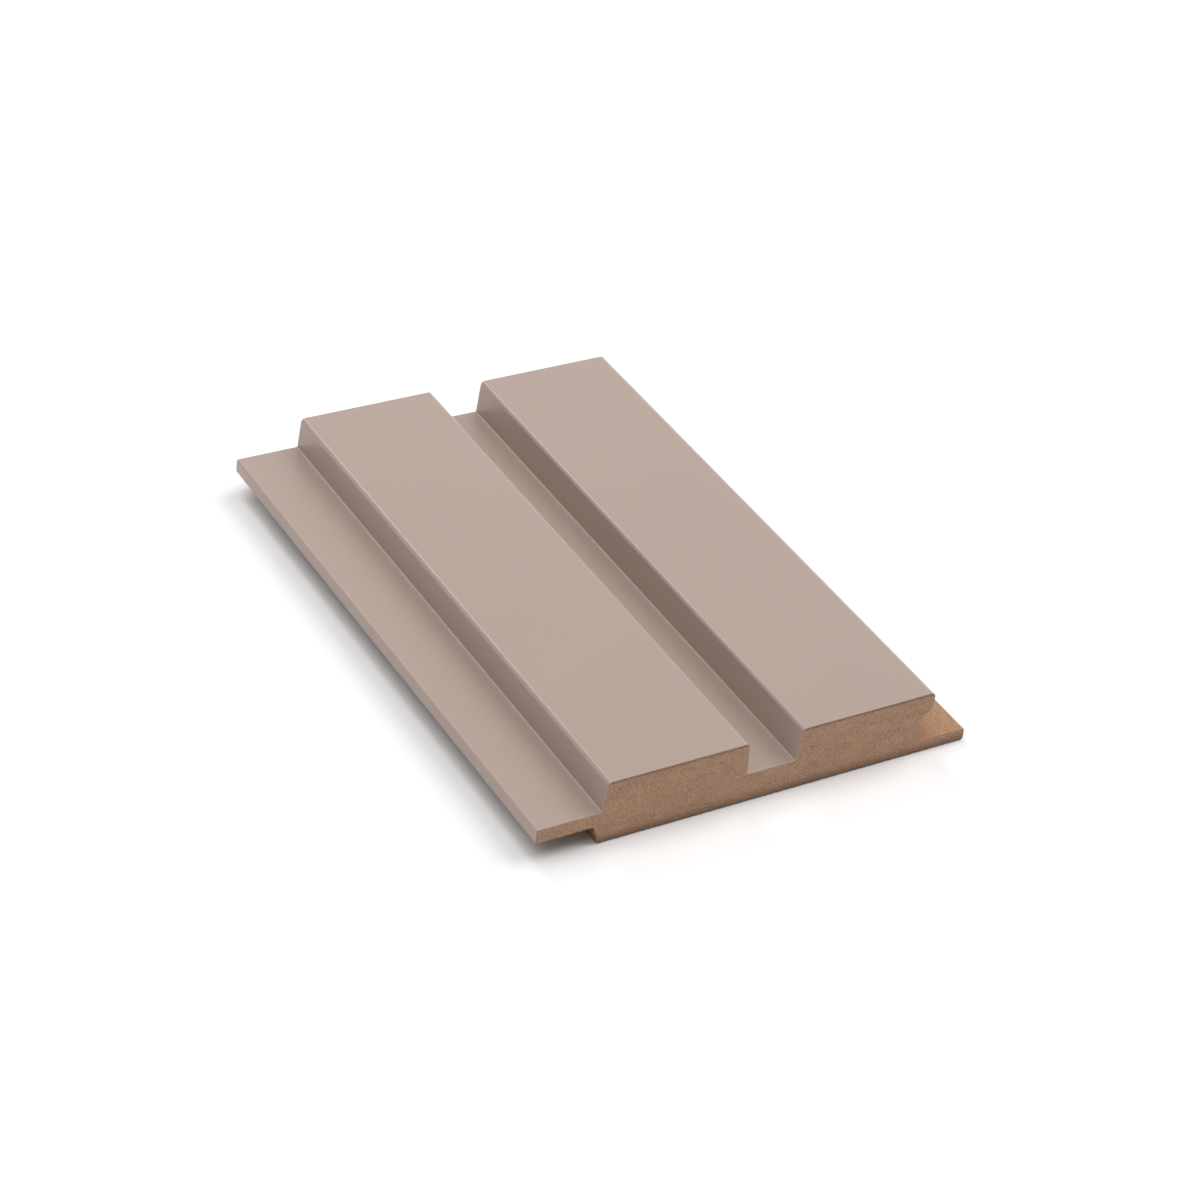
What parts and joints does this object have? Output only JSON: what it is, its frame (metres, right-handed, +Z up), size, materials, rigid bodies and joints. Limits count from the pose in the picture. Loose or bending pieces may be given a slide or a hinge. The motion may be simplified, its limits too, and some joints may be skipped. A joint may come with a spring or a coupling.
{
  "type": "wainscot panel",
  "caption": "Length of moulded MDF wainscot panel with flat raised slats, a square groove between them, a lip on one edge and a hooked tongue on the other, so that panels lap side by side.",
  "frame": {"origin": "centre of the panel's outline at its back, which lies on the floor", "axes": "+Z up out of the slatted face, +Y along the slats, +X across from the lip to the tongue"},
  "size_m": [0.121, 0.16, 0.018],
  "materials": {
    "coated_mdf": "satin taupe coating on the face, bare sawn MDF at the ends"
  },
  "bodies": {
    "root": {"panel": "coated_mdf"}
  },
  "joints": []
}
